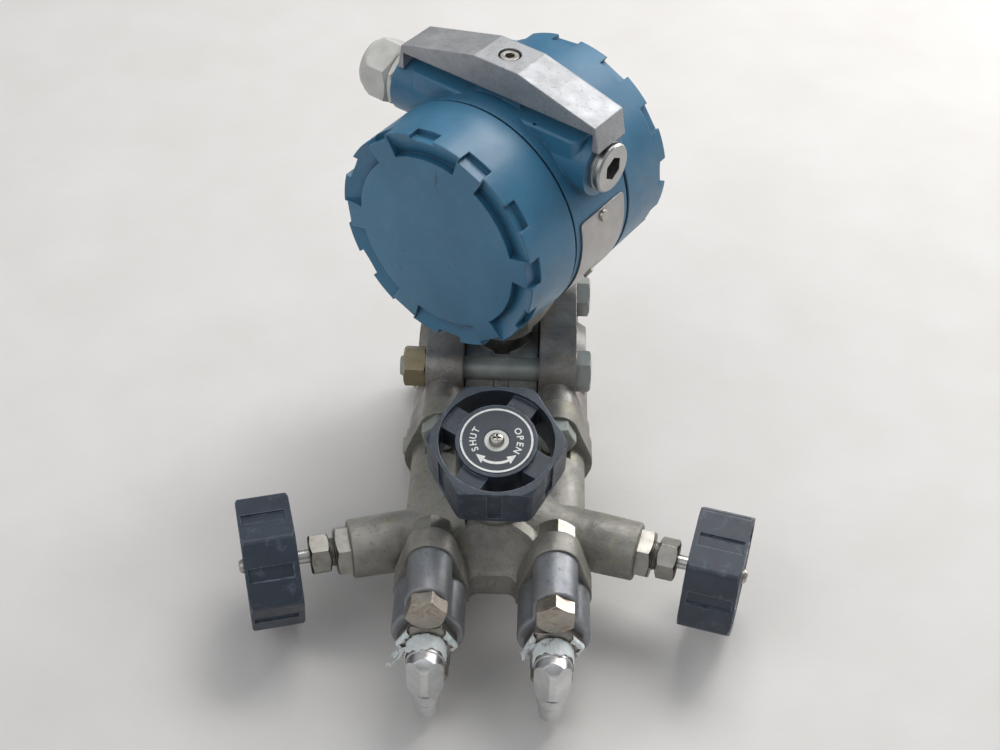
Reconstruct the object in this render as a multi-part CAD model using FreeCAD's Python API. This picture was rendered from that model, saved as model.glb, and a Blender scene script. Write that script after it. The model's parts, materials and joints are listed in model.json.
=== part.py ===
import FreeCAD, Part
import math
import os

# Differential pressure transmitter: a two-compartment electronics head on a
# capacitance cell, two bolted process flanges, a three-valve manifold bolted
# to their front faces, and two flange adapters with reducing elbows.
# Millimetres.  X runs from the left flange to the right one, Y from the
# manifold towards the back, +Z up.  Origin: on the rest plane, below the
# middle of the measuring cell.

V = FreeCAD.Vector

# ---- driving dimensions -------------------------------------------------
BOLT_R = 5.55            # 7/16 inch bolt shank
LUG = 27.6               # half spacing of the four flange bolts
LUG_EDGE = 12.4          # bolt centre to the edge of a process flange
LUG_R = 12.2             # corner radius of a process flange
FLANGE_HALF = LUG + LUG_EDGE                             # half height and half depth of a flange
AXIS_Z = FLANGE_HALF     # cell and manifold centre line above the rest plane
CELL_R = LUG * math.sqrt(2.0) - BOLT_R - 0.48            # cell radius, clear of the bolts
CELL_HALF = 18.0         # half thickness of the measuring cell
PORT_X = 27.0            # half of the 54 mm port spacing
BOLT_Z = 20.6            # half of the 41.3 mm bolt spacing at each port
FLANGE_OUT = 35.7        # outer face of a process flange at its bolt lugs
FLANGE_PORT_Y = -50.5    # front face of the process flange ports
BACK_EAR_Y = -62.0       # front side of the manifold's rear ears
FRONT_EAR_Y = -132.5     # rear side of the manifold's front ears
FRONT_FACE_Y = -143.0    # front face of the manifold
ADAPTER_Y = -166.2       # front face of the flange adapters
HUB_R = 16.6             # hub radius of the oval port flanges
EAR_R = 9.6              # ear radius of the oval port flanges
ADAPTER_R = 15.8         # hub radius of a flange adapter
WEB_FRONT = -134.0       # front face of the manifold's web
GAP_HALF = 10.4          # half width of the gap between the two adapters
ARM_R = 13.3             # side valve arm radius at its end
TOP_R = 14.6             # top valve boss radius at its end
VALVE_Y = {"left": -103.2, "right": -99.0, "top": -99.0}       # where the valve axes cross X = 0
VALVE_TILT = 14.6        # valve axes lean this far towards the front, degrees
VALVE_SEAT = {"left": 67.0, "right": 67.0, "top": 25.0}        # crossing point to the end of arm or boss
WHEEL_BACK = 24.0        # end of arm or boss to the inner face of the wheel
WHEEL_T = 23.6           # handwheel thickness
WHEEL_CORNER = 30.2      # handwheel centre to corner
WHEEL_PHASE = {"left": -21.6, "right": -16.1, "top": 0.0}      # how far each wheel stands turned
HEAD_Z = AXIS_Z + 114.6  # axis of the electronics housing above the rest plane
HEAD_TURN = -35.4        # the head is turned on its neck, degrees about Z
SPIGOT_R = 44.6          # thread radius under the covers
SPIGOT_END = 32.0        # end of the threaded spigots
BODY_R = SPIGOT_R + 8.0  # electronics housing radius
BODY_HALF = 19.2         # half length of the housing between the covers
SEAM = 1.3               # gap between the housing and a cover, filled by the seal
CAVITY_R = SPIGOT_R - 4.6                                # radius of the two compartments
COVER_R = SPIGOT_R + 8.4                                 # cover radius at its mouth
COVER_END = 52.0         # outer face of a cover from the housing centre
BAR_SEAT = BODY_R + 3.1  # underside of the bar over the housing
CONDUIT_Z = 35.5         # conduit axis above the housing axis
CONDUIT_R = 10.4         # conduit entry radius
CONDUIT_END = 50.5       # end face of the right conduit boss
GLAND_SEAT = 55.5        # end face of the left conduit boss
GLAND_MOUTH = GLAND_SEAT + 22.2                          # outer face of the gland nut
BOSS_R = 14.5            # radius of a conduit boss
NECK_R = 16.0            # threaded neck of the measuring cell
BOLT_AF = 17.5           # across flats of the flange bolt heads and nuts
PORT_AF = 15.9           # across flats of the port bolt heads and nuts
BUSH_AF = 22.2           # across flats of the reducer bushings
HEAD_H = 7.0             # bolt head height


# ---- helpers ------------------------------------------------------------
def cyl(base, direction, radius, length):
    return Part.makeCylinder(radius, length, base, direction)


def cone(base, direction, r1, r2, length):
    return Part.makeCone(r1, r2, length, base, direction)


def box(x0, x1, y0, y1, z0, z1):
    return Part.makeBox(x1 - x0, y1 - y0, z1 - z0, V(x0, y0, z0))


def prism(points, direction):
    wire = Part.makePolygon(points + [points[0]])
    return Part.Face(wire).extrude(direction)


def join(shapes):
    whole = shapes[0].multiFuse(shapes[1:])
    return whole.removeSplitter()


def cut(shape, tools):
    return shape.cut(Part.makeCompound(tools))


def side_of(direction):
    # a fixed sideways unit vector, perpendicular to the direction
    ref = V(0, 0, 1)
    if abs(direction.z) > 0.9:
        ref = V(1, 0, 0)
        return (ref - direction * ref.dot(direction)).normalize()
    return (ref - direction * ref.dot(direction)).normalize()


def placed(shape, base, direction, turn=0.0):
    # local +Z goes to the direction, local +X to its sideways vector
    w = V(direction).normalize()
    u = side_of(w)
    v = w.cross(u)
    m = FreeCAD.Matrix(u.x, v.x, w.x, base.x,
                       u.y, v.y, w.y, base.y,
                       u.z, v.z, w.z, base.z,
                       0, 0, 0, 1)
    local = shape.copy()
    if turn:
        local.rotate(V(0, 0, 0), V(0, 0, 1), turn)
    local.transformShape(m)
    return local


def turned(profile, base, direction, turn=0.0):
    # solid of revolution from (radius, height) points
    points = [V(r, 0, h) for r, h in profile]
    wire = Part.makePolygon(points + [points[0]])
    solid = Part.Face(wire).revolve(V(0, 0, 0), V(0, 0, 1), 360)
    return placed(solid, base, direction, turn)


def spun(edges, base, direction):
    # solid of revolution from edges that start and end on the local axis
    closing = Part.LineSegment(edges[-1].lastVertex().Point, edges[0].firstVertex().Point).toShape()
    solid = Part.Face(Part.Wire(edges + [closing])).revolve(V(0, 0, 0), V(0, 0, 1), 360)
    return placed(solid, base, direction)


def line(p, q):
    return Part.LineSegment(p, q).toShape()


def arc(p, q, r):
    return Part.Arc(p, q, r).toShape()


def flared(base, direction, root_r, waist, end_r, end):
    # a cast boss: wide at its root, drawn in by a hollow curve, straight to its end
    mid_r = end_r + (root_r - end_r) * 0.26
    foot = V(0, 0, 0)
    edges = [line(foot, V(root_r, 0, 0))]
    edges.append(arc(V(root_r, 0, 0), V(mid_r, 0, waist * 0.45), V(end_r + 0.4, 0, waist)))
    edges.append(line(V(end_r + 0.4, 0, waist), V(end_r, 0, end - 0.8)))
    edges.append(line(V(end_r, 0, end - 0.8), V(end_r - 0.8, 0, end)))
    edges.append(line(V(end_r - 0.8, 0, end), V(0, 0, end)))
    return spun(edges, base, direction)


def ridges(r_top, depth, pitch, h0, h1):
    # zigzag outline of a thread from h0 to h1, read along the height
    count = max(1, int(abs(h1 - h0) / pitch))
    step = (h1 - h0) / count
    outline = []
    for i in range(count):
        outline.append((r_top - depth, h0 + step * i))
        outline.append((r_top, h0 + step * (i + 0.5)))
    outline.append((r_top - depth, h1))
    return outline


def hexagon(af, h0, h1, chamfer_low=0.0, chamfer_high=0.0):
    # local hexagonal bar along +Z, its corners turned off at the ends
    r = af / math.sqrt(3.0)
    corners = []
    for i in range(6):
        t = math.radians(60.0 * i)
        corners.append(V(r * math.cos(t), r * math.sin(t), h0))
    bar = prism(corners, V(0, 0, h1 - h0))
    low = r - af / 2.0 * 0.96
    if not (chamfer_low or chamfer_high):
        return bar
    outline = [(0, h0)]
    if chamfer_low:
        outline.append((r - low, h0))
        outline.append((r + 0.02, h0 + low * 0.55))
    else:
        outline.append((r + 0.02, h0))
    if chamfer_high:
        outline.append((r + 0.02, h1 - low * 0.55))
        outline.append((r - low, h1))
    else:
        outline.append((r + 0.02, h1))
    outline.append((0, h1))
    points = [V(a, 0, b) for a, b in outline]
    wire = Part.makePolygon(points + [points[0]])
    blank = Part.Face(wire).revolve(V(0, 0, 0), V(0, 0, 1), 360)
    return bar.common(blank)


def local_cyl(radius, h0, h1):
    return Part.makeCylinder(radius, h1 - h0, V(0, 0, h0))


def hex_bolt(af, seat, direction, length, turn=0.0):
    # head on the outer side of the seat, shank running against the direction
    head = hexagon(af, 0, HEAD_H, 0.0, 1.0)
    end = -length
    outline = [(0, 0.5), (BOLT_R, 0.5), (BOLT_R, end + 14.0)]
    outline += [(r, h) for r, h in ridges(BOLT_R, 0.55, 1.6, end + 14.0, end + 1.2)]
    outline += [(BOLT_R - 1.3, end), (0, end)]
    points = [V(a, 0, b) for a, b in outline]
    wire = Part.makePolygon(points + [points[0]])
    shank = Part.Face(wire).revolve(V(0, 0, 0), V(0, 0, 1), 360)
    return placed(head.fuse(shank).removeSplitter(), seat, direction, turn)


def hex_nut(af, seat, direction, height, turn=0.0):
    body = hexagon(af, 0, height, 1.0, 1.0)
    bore = local_cyl(BOLT_R + 0.04, -1, height + 1)
    return placed(body.cut(bore), seat, direction, turn)


def oval(cx, hub_r, ear_r, y0, y1):
    # two-bolt oval flange outline, extruded from y0 to y1
    s = (hub_r - ear_r) / BOLT_Z
    c = math.sqrt(1.0 - s * s)
    hub_x = hub_r * c
    hub_z = hub_r * s
    ear_x = ear_r * c
    ear_z = BOLT_Z + ear_r * s

    def at(x, z):
        return V(cx + x, y0, AXIS_Z + z)
    edges = []
    for s in (1, -1):
        edges.append(arc(at(s * hub_x, -s * hub_z), at(s * hub_r, 0), at(s * hub_x, s * hub_z)))
        edges.append(line(at(s * hub_x, s * hub_z), at(s * ear_x, s * ear_z)))
        edges.append(arc(at(s * ear_x, s * ear_z), at(0, s * (BOLT_Z + ear_r)), at(-s * ear_x, s * ear_z)))
        edges.append(line(at(-s * ear_x, s * ear_z), at(-s * hub_x, s * hub_z)))
    return Part.Face(Part.Wire(edges)).extrude(V(0, y1 - y0, 0))


def eared(cx, hub_r, ear_r, fillet, y0, y1):
    # round hub with two straight-sided ears, their corners filleted
    turn_x = ear_r + fillet
    turn_z = math.sqrt((hub_r + fillet) ** 2 - turn_x ** 2)
    share = hub_r / (hub_r + fillet)
    hub_x = turn_x * share
    hub_z = turn_z * share
    half = math.sqrt(0.5 * (1.0 + turn_x / (hub_r + fillet)))
    side = math.sqrt(1.0 - half * half)
    mid_x = turn_x - fillet * half
    mid_z = turn_z - fillet * side

    def at(x, z):
        return V(cx + x, y0, AXIS_Z + z)
    edges = []
    for s in (1, -1):
        edges.append(arc(at(s * hub_x, -hub_z), at(s * hub_r, 0), at(s * hub_x, hub_z)))
        for k in (1, -1):
            bend = arc(at(s * hub_x, k * hub_z), at(s * mid_x, k * mid_z), at(s * ear_r, k * turn_z))
            edges.append(bend)
            edges.append(line(at(s * ear_r, k * turn_z), at(s * ear_r, k * BOLT_Z)))
    for k in (1, -1):
        edges.append(arc(at(ear_r, k * BOLT_Z), at(0, k * (BOLT_Z + ear_r)), at(-ear_r, k * BOLT_Z)))
    outline = Part.Wire(Part.__sortEdges__(edges))
    return Part.Face(outline).extrude(V(0, y1 - y0, 0))


def in_head(shape):
    # from the head's own axes (X along the conduits, Y to the rear cover)
    shape.rotate(V(0, 0, 0), V(0, 0, 1), HEAD_TURN)
    shape.translate(V(0, 0, HEAD_Z))
    return shape


# ---- process flanges and measuring cell ---------------------------------
def process_flange(side):
    x_in = CELL_HALF
    h = FLANGE_HALF
    plate = box(x_in, FLANGE_OUT, -h, h, AXIS_Z - h, AXIS_Z + h)
    corner = [e for e in plate.Edges if abs(e.tangentAt(0).x) > 0.99]
    plate = plate.makeFillet(LUG_R, corner)
    mid = V(FLANGE_OUT, 0, AXIS_Z)
    dome = cone(mid, V(1, 0, 0), 27.0, 24.0, 5.3)
    hub = cyl(V(PORT_X, FLANGE_PORT_Y, AXIS_Z), V(0, 1, 0), HUB_R - 1.0, 36)
    hub = hub.common(box(CELL_HALF, 60, -60, 0, 0, 90))
    pad = oval(PORT_X, HUB_R, EAR_R, FLANGE_PORT_Y, -39.0)
    rear = cyl(V(PORT_X, 20, AXIS_Z), V(0, 1, 0), 11.5, 23)
    rear = rear.common(box(CELL_HALF, 60, 0, 60, 0, 90))
    solid = join([plate, dome, hub, pad, rear])
    tools = []
    tools.append(cyl(V(x_in - 1, 0, AXIS_Z), V(1, 0, 0), CELL_R - 8.5, 2.6))
    tools.append(cyl(V(PORT_X, FLANGE_PORT_Y - 1, AXIS_Z), V(0, 1, 0), 6.6, 13))
    tools.append(cyl(V(PORT_X, FLANGE_PORT_Y, AXIS_Z), V(0, 1, 0), 3.5, 42))
    tools.append(cyl(V(PORT_X + 1, -12, AXIS_Z), V(-1, 0, 0), 3.5, 12))
    tools.append(cyl(V(PORT_X, 30, AXIS_Z), V(0, 1, 0), 6.6, 14))
    tools.append(cyl(V(PORT_X, 12, AXIS_Z), V(0, 1, 0), 3.0, 20))
    tools.append(cyl(V(PORT_X + 1, 14, AXIS_Z), V(-1, 0, 0), 3.0, 12))
    for z in (BOLT_Z, -BOLT_Z):
        tools.append(cyl(V(PORT_X, FLANGE_PORT_Y - 1, AXIS_Z + z), V(0, 1, 0), BOLT_R + 0.04, 16))
    for y in (LUG, -LUG):
        for z in (LUG, -LUG):
            tools.append(cyl(V(x_in - 1, y, AXIS_Z + z), V(1, 0, 0), 5.85, 30))
    solid = cut(solid, tools)
    if side < 0:
        solid = solid.mirror(V(0, 0, 0), V(1, 0, 0))
    return solid


def measuring_cell():
    groove_in = CELL_R - 6.5
    groove_out = CELL_R - 3.5
    recess = CELL_R - 9.0
    w = CELL_HALF
    outline = [(0, -w + 0.9), (recess, -w + 0.9), (recess, -w), (groove_in, -w), (groove_in, -w + 2.7),
               (groove_out, -w + 2.7), (groove_out, -w), (CELL_R - 0.8, -w), (CELL_R, -w + 0.8),
               (CELL_R, -4.0), (CELL_R - 1.0, -3.2), (CELL_R - 1.0, 3.2), (CELL_R, 4.0),
               (CELL_R, w - 0.8), (CELL_R - 0.8, w), (groove_out, w), (groove_out, w - 2.7),
               (groove_in, w - 2.7), (groove_in, w), (recess, w), (recess, w - 0.9), (0, w - 0.9)]
    puck = turned(outline, V(0, 0, AXIS_Z), V(1, 0, 0))
    top = HEAD_Z - 43.0
    z0 = AXIS_Z + recess
    z1 = AXIS_Z + 44.0
    neck_outline = [(0, z0), (NECK_R - 1.0, z0), (NECK_R - 1.0, z1), (NECK_R - 0.6, z1)]
    neck_outline += ridges(NECK_R, 0.5, 2.0, z1 + 0.4, top - 1.5)
    neck_outline += [(NECK_R - 1.6, top), (0, top)]
    neck = turned(neck_outline, V(0, 0, 0), V(0, 0, 1))
    shoulder = cyl(V(0, 0, z0), V(0, 0, 1), NECK_R + 1.0, 12.6)
    shoulder = shoulder.common(box(4.0 - w, w - 4.0, -20.0, 20.0, z0, z0 + 13.0))
    return join([puck, neck, shoulder])


def isolators():
    discs = []
    for s in (-1, 1):
        rim = CELL_R - 9.1
        outline = [(0, 0), (rim, 0), (rim, 0.4), (21.0, 0.4), (20.0, 0.6), (18.0, 0.35),
                   (16.0, 0.6), (14.0, 0.35), (12.0, 0.6), (10.0, 0.4), (0, 0.4)]
        discs.append(turned(outline, V(s * (CELL_HALF - 0.9), 0, AXIS_Z), V(s, 0, 0)))
    return Part.makeCompound(discs)


def flange_seals():
    rings = []
    for s in (-1, 1):
        rings.append(Part.makeTorus(CELL_R - 5.0, 1.35, V(s * (CELL_HALF - 1.35), 0, AXIS_Z), V(1, 0, 0)))
    return Part.makeCompound(rings)


def flange_bolts():
    bolts = []
    for i, (y, z) in enumerate(((-LUG, LUG), (LUG, LUG), (-LUG, -LUG), (LUG, -LUG))):
        seat = V(FLANGE_OUT, y, AXIS_Z + z)
        bolts.append(hex_bolt(BOLT_AF, seat, V(1, 0, 0), 84.0, (30.0, 8.0, 14.0, 22.0)[i]))
    return Part.makeCompound(bolts)


def flange_nuts():
    nuts = []
    for i, (y, z) in enumerate(((-LUG, LUG), (LUG, LUG), (-LUG, -LUG), (LUG, -LUG))):
        seat = V(-FLANGE_OUT, y, AXIS_Z + z)
        nuts.append(hex_nut(BOLT_AF, seat, V(-1, 0, 0), 10.8, (2.0, 17.0, 9.0, 25.0)[i]))
    return Part.makeCompound(nuts)


def vent_seats():
    parts = []
    for s in (-1, 1):
        head = hexagon(15.9, 0, 7.0, 0.0, 1.0)
        thread = local_cyl(6.56, -11.5, 0.5)
        nose = local_cyl(4.6, 6.5, 10.0)
        bore = local_cyl(3.05, -12.0, 11.0)
        body = join([head, thread, nose]).cut(bore)
        parts.append(placed(body, V(s * PORT_X, 43.0, AXIS_Z), V(0, 1, 0), 10.0))
    return Part.makeCompound(parts)


def vent_screw(side):
    stem = turned([(0, -9.0), (1.0, -8.4), (3.0, -6.0), (3.0, 11.5), (0, 11.5)], V(0, 0, 0), V(0, 0, 1))
    head = hexagon(8.0, 11.0, 17.0, 0.6, 0.6)
    bore = local_cyl(1.2, 9.0, 18.0)
    body = stem.fuse(head).removeSplitter().cut(bore)
    return placed(body, V(side * PORT_X, 43.0, AXIS_Z), V(0, 1, 0), 4.0)


# ---- manifold -----------------------------------------------------------
def valve_axis(which):
    t = math.radians(VALVE_TILT)
    if which == "top":
        return V(0, -math.sin(t), math.cos(t))
    s = -1.0 if which == "left" else 1.0
    return V(s * math.cos(t), -math.sin(t), 0)


def tip_end(which):
    return 6.0 if which == "top" else 34.0


VALVES = ("left", "right", "top")


def on_valve(which, s):
    return V(0, VALVE_Y[which], AXIS_Z) + valve_axis(which) * s


def web_casting():
    # the casting between the two bores: a humped roof that falls away to the front,
    # and a rounded cut-out between the two front ears
    front = WEB_FRONT - 5.0
    roof = [(front, -11.0), (front, -1.0), (WEB_FRONT + 1.5, 2.5), (-118.0, 17.5), (-112.0, 18.5),
            (-88.0, 18.5), (-76.0, 12.5), (-66.0, 11.5), (-66.0, -11.0)]
    points = [V(-PORT_X, y, AXIS_Z + z) for y, z in roof]
    block = prism(points, V(2.0 * PORT_X, 0, 0))
    creases = []
    for e in block.Edges:
        high = e.BoundBox.ZMin > AXIS_Z + 2.0 and e.BoundBox.ZLength < 0.01
        if high and e.BoundBox.XLength > PORT_X and e.BoundBox.YMax < -70.0:
            creases.append(e)
    block = block.makeFillet(3.0, creases)
    hump_r = 28.6
    hump = cyl(V(0, front - 1.0, AXIS_Z + 18.5 - hump_r), V(0, 1, 0), hump_r, 80.0)
    block = block.common(hump)
    slot = box(-GAP_HALF, GAP_HALF, front - 8.0, WEB_FRONT, AXIS_Z - 30.0, AXIS_Z + 30.0)
    corners = [e for e in slot.Edges if e.BoundBox.ZLength > 50.0 and e.BoundBox.YMin > WEB_FRONT - 0.1]
    return block.cut(slot.makeFillet(4.4, corners))


def manifold_body():
    pieces = [web_casting()]
    for s in (-1, 1):
        x = s * PORT_X
        pieces.append(oval(x, HUB_R + 1.0, EAR_R + 0.4, BACK_EAR_Y, FLANGE_PORT_Y))
        pieces.append(oval(x, HUB_R, EAR_R + 1.0, FRONT_FACE_Y, FRONT_EAR_Y))
        pieces.append(cyl(V(x, BACK_EAR_Y - 75, AXIS_Z), V(0, 1, 0), 14.0, 80))
    for which in ("left", "right"):
        d = valve_axis(which)
        pieces.append(flared(on_valve(which, 16.0), d, 19.0, 30.0, ARM_R, VALVE_SEAT[which] - 16.0))
    pieces.append(flared(on_valve("top", 0.0), valve_axis("top"), 25.0, 17.0, TOP_R, VALVE_SEAT["top"]))
    solid = join(pieces)
    tools = []
    for s in (-1, 1):
        x = s * PORT_X
        for z in (BOLT_Z, -BOLT_Z):
            tools.append(cyl(V(x, FRONT_FACE_Y - 1, AXIS_Z + z), V(0, 1, 0), 5.85, 30))
            tools.append(cyl(V(x, BACK_EAR_Y - 1, AXIS_Z + z), V(0, 1, 0), 5.85, 20))
            tools.append(cyl(V(x, FRONT_EAR_Y, AXIS_Z + z), V(0, 1, 0), 10.9, 11.5))
            tools.append(cyl(V(x, BACK_EAR_Y - 9.0, AXIS_Z + z), V(0, 1, 0), 10.9, 9.0))
        # seal grooves at both ends
        for y in (FRONT_FACE_Y, FLANGE_PORT_Y - 1.8):
            tools.append(cyl(V(x, y, AXIS_Z), V(0, 1, 0), 11.0, 1.8))
        # process passage from the front face into the valve chamber
        tools.append(cyl(V(x, FRONT_FACE_Y - 1, AXIS_Z), V(0, 1, 0), 3.2, 36))
        # transmitter passage, drilled at a slant to the valve seat
        which = "left" if s < 0 else "right"
        inner = V(s * 19.0, VALVE_Y[which] - 5.0, AXIS_Z)
        outer = V(x, FLANGE_PORT_Y + 1, AXIS_Z)
        run = outer - inner
        length = run.Length
        tools.append(cyl(inner, run.normalize(), 3.0, length))
    for which in VALVES:
        d = valve_axis(which)
        seat = VALVE_SEAT[which]
        low = tip_end(which)
        tools.append(cyl(on_valve(which, seat - 12.0), d, 8.6, 13.0))
        tools.append(cyl(on_valve(which, low), d, 4.6, seat - 11.5 - low))
        tools.append(cyl(on_valve(which, low - 14.0), d, 1.9, 15.0))
    # equalising passages on both sides of the top valve seat
    level = VALVE_Y["top"] + 2.5
    tools.append(cyl(V(-19.0, level, AXIS_Z - 6.0), V(1, 0, 0), 2.0, 19.0))
    tools.append(cyl(V(-19.0, level, AXIS_Z - 6.0), V(0, 0, 1), 2.0, 6.0))
    return cut(solid, tools)


def port_seals(y0):
    rings = []
    for s in (-1, 1):
        ring = cyl(V(s * PORT_X, y0, AXIS_Z), V(0, 1, 0), 10.9, 1.8)
        hole = cyl(V(s * PORT_X, y0 - 1, AXIS_Z), V(0, 1, 0), 6.6, 5)
        rings.append(ring.cut(hole))
    return Part.makeCompound(rings)


def manifold_bolts():
    bolts = []
    for i, (s, z) in enumerate(((-1, 1), (1, 1), (-1, -1), (1, -1))):
        seat = V(s * PORT_X, BACK_EAR_Y, AXIS_Z + z * BOLT_Z)
        bolts.append(hex_bolt(PORT_AF, seat, V(0, -1, 0), 26.0, (12.0, 28.0, 5.0, 20.0)[i]))
    return Part.makeCompound(bolts)


def adapter(side):
    solid = eared(side * PORT_X, ADAPTER_R, EAR_R, 3.0, ADAPTER_Y, FRONT_FACE_Y)
    front = [e for e in solid.Edges if abs(e.BoundBox.YMax - ADAPTER_Y) < 0.01]
    solid = solid.makeFillet(1.4, front)
    tools = []
    x = side * PORT_X
    tools.append(cyl(V(x, ADAPTER_Y - 1, AXIS_Z), V(0, 1, 0), 10.4, 17.0))
    tools.append(cyl(V(x, ADAPTER_Y - 1, AXIS_Z), V(0, 1, 0), 6.6, 30.0))
    for z in (BOLT_Z, -BOLT_Z):
        tools.append(cyl(V(x, ADAPTER_Y - 1, AXIS_Z + z), V(0, 1, 0), 5.85, 30.0))
    return cut(solid, tools)


def adapter_bolts():
    bolts = []
    for i, (s, z) in enumerate(((-1, 1), (1, 1), (-1, -1), (1, -1))):
        seat = V(s * PORT_X, ADAPTER_Y, AXIS_Z + z * BOLT_Z)
        bolts.append(hex_bolt(PORT_AF, seat, V(0, -1, 0), 45.0, (43.0, 0.0, 27.0, 31.0)[i]))
    return Part.makeCompound(bolts)


def adapter_nuts():
    nuts = []
    for s in (-1, 1):
        for z in (-1, 1):
            seat = V(s * PORT_X, FRONT_EAR_Y, AXIS_Z + z * BOLT_Z)
            nuts.append(hex_nut(PORT_AF, seat, V(0, 1, 0), 9.2, 4.0 * s))
    return Part.makeCompound(nuts)


def bushings():
    parts = []
    for s in (-1, 1):
        head = hexagon(BUSH_AF, 0.0, 6.0, 0.0, 1.0)
        thread = local_cyl(10.36, -15.5, 0.5)
        bore = local_cyl(6.6, -16.0, 7.0)
        body = head.fuse(thread).removeSplitter().cut(bore)
        parts.append(placed(body, V(s * PORT_X, ADAPTER_Y, AXIS_Z), V(0, -1, 0), 30.0 if s < 0 else 40.0))
    return Part.makeCompound(parts)


ELBOW_Y = ADAPTER_Y - 6.0


def elbows():
    # forged elbows: a round collar, a leg with a narrow ridge along its front, a round spigot
    parts = []
    leg_y = ELBOW_Y - 9.0
    for s in (-1, 1):
        x = s * PORT_X
        section = [(-8.0, 7.4), (8.0, 7.4), (8.0, -2.6), (1.5, -8.0), (-1.5, -8.0), (-8.0, -2.6)]
        low = AXIS_Z - 17.0
        leg = prism([V(x + a, leg_y + b, low) for a, b in section], V(0, 0, 26.0))
        # seen from the front: round over the top, drawn in at the lower end
        front = [line(V(x - 8.0, leg_y - 9.0, AXIS_Z - 12.0), V(x - 8.0, leg_y - 9.0, AXIS_Z))]
        front.append(arc(V(x - 8.0, leg_y - 9.0, AXIS_Z), V(x, leg_y - 9.0, AXIS_Z + 8.0),
                         V(x + 8.0, leg_y - 9.0, AXIS_Z)))
        front.append(line(V(x + 8.0, leg_y - 9.0, AXIS_Z), V(x + 8.0, leg_y - 9.0, AXIS_Z - 12.0)))
        front.append(line(V(x + 8.0, leg_y - 9.0, AXIS_Z - 12.0), V(x + 6.0, leg_y - 9.0, low)))
        front.append(line(V(x + 6.0, leg_y - 9.0, low), V(x - 6.0, leg_y - 9.0, low)))
        front.append(line(V(x - 6.0, leg_y - 9.0, low), V(x - 8.0, leg_y - 9.0, AXIS_Z - 12.0)))
        leg = leg.common(Part.Face(Part.Wire(front)).extrude(V(0, 18.0, 0)))
        # seen from the side: the outer bend is rounded, the lower front is chamfered
        side = [line(V(x - 9.0, leg_y + 9.0, AXIS_Z + 9.0), V(x - 9.0, leg_y - 1.0, AXIS_Z + 9.0))]
        side.append(arc(V(x - 9.0, leg_y - 1.0, AXIS_Z + 9.0), V(x - 9.0, leg_y - 6.0, AXIS_Z + 6.4),
                        V(x - 9.0, leg_y - 8.1, AXIS_Z + 1.0)))
        side.append(line(V(x - 9.0, leg_y - 8.1, AXIS_Z + 1.0), V(x - 9.0, leg_y - 8.1, AXIS_Z - 13.0)))
        side.append(line(V(x - 9.0, leg_y - 8.1, AXIS_Z - 13.0), V(x - 9.0, leg_y - 5.6, low)))
        side.append(line(V(x - 9.0, leg_y - 5.6, low), V(x - 9.0, leg_y + 9.0, low)))
        side.append(line(V(x - 9.0, leg_y + 9.0, low), V(x - 9.0, leg_y + 9.0, AXIS_Z + 9.0)))
        leg = leg.common(Part.Face(Part.Wire(side)).extrude(V(18.0, 0, 0)))
        collar = cyl(V(x, leg_y, AXIS_Z), V(0, 1, 0), 8.3, 8.4)
        thread = cyl(V(x, leg_y + 7.0, AXIS_Z), V(0, 1, 0), 6.56, 14.0)
        spigot = turned([(0, 0), (6.4, 0), (6.4, 5.6), (5.5, 7.6), (5.5, 14.7), (0, 14.7)],
                        V(x, leg_y, low + 0.2), V(0, 0, -1))
        body = join([leg, collar, thread, spigot])
        bore = cyl(V(x, leg_y, AXIS_Z + 2.5), V(0, 0, -1), 3.4, 50)
        bore2 = cyl(V(x, leg_y, AXIS_Z), V(0, 1, 0), 3.4, 30)
        parts.append(cut(body, [bore, bore2]))
    return Part.makeCompound(parts)


# ---- valves -------------------------------------------------------------
def bonnets():
    parts = []
    for which in VALVES:
        head = hexagon(20.4, 0.0, 6.7, 0.0, 1.0)
        lower = local_cyl(8.55, -12.0, 0.5)
        outline = [(0, 6.2), (6.1, 6.2)] + ridges(6.6, 0.5, 1.3, 6.9, 15.2) + [(0, 15.4)]
        upper = turned(outline, V(0, 0, 0), V(0, 0, 1))
        body = join([head, lower, upper])
        tools = [local_cyl(4.45, -13.0, 1.0), local_cyl(3.3, 0.5, 18.0), local_cyl(4.9, 10.0, 18.0)]
        body = cut(body, tools)
        turn = {"left": 14.0, "right": 40.0, "top": 5.0}[which]
        parts.append(placed(body, on_valve(which, VALVE_SEAT[which]), valve_axis(which), turn))
    return Part.makeCompound(parts)


def packing_nuts():
    parts = []
    for which in VALVES:
        body = hexagon(16.6, 9.2, 18.1, 1.0, 1.0)
        tools = [local_cyl(6.66, 9.0, 15.7), local_cyl(3.3, 9.0, 20.0)]
        body = cut(body, tools)
        turn = {"left": 24.0, "right": 3.0, "top": 17.0}[which]
        parts.append(placed(body, on_valve(which, VALVE_SEAT[which]), valve_axis(which), turn))
    return Part.makeCompound(parts)


def packings():
    parts = []
    for which in VALVES:
        body = local_cyl(4.86, 10.0, 15.65).cut(local_cyl(3.28, 9.0, 17.0))
        parts.append(placed(body, on_valve(which, VALVE_SEAT[which]), valve_axis(which)))
    return Part.makeCompound(parts)


def stem(which):
    seat = VALVE_SEAT[which]
    low = tip_end(which) - seat + 5.0
    top = WHEEL_BACK + WHEEL_T - 4.0
    outline = [(0, low), (3.2, low), (3.2, -11.6), (4.4, -11.0), (4.4, -3.8), (3.2, -3.0)]
    outline += [(3.2, top), (0, top)]
    body = turned(outline, V(0, 0, 0), V(0, 0, 1))
    body = body.cut(local_cyl(1.66, top - 12.0, top + 1.0))
    flat = box(-5, 5, 2.6, 5, WHEEL_BACK + 6.0, top + 1)
    body = body.cut(flat)
    return placed(body, on_valve(which, seat), valve_axis(which), WHEEL_PHASE[which])


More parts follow.
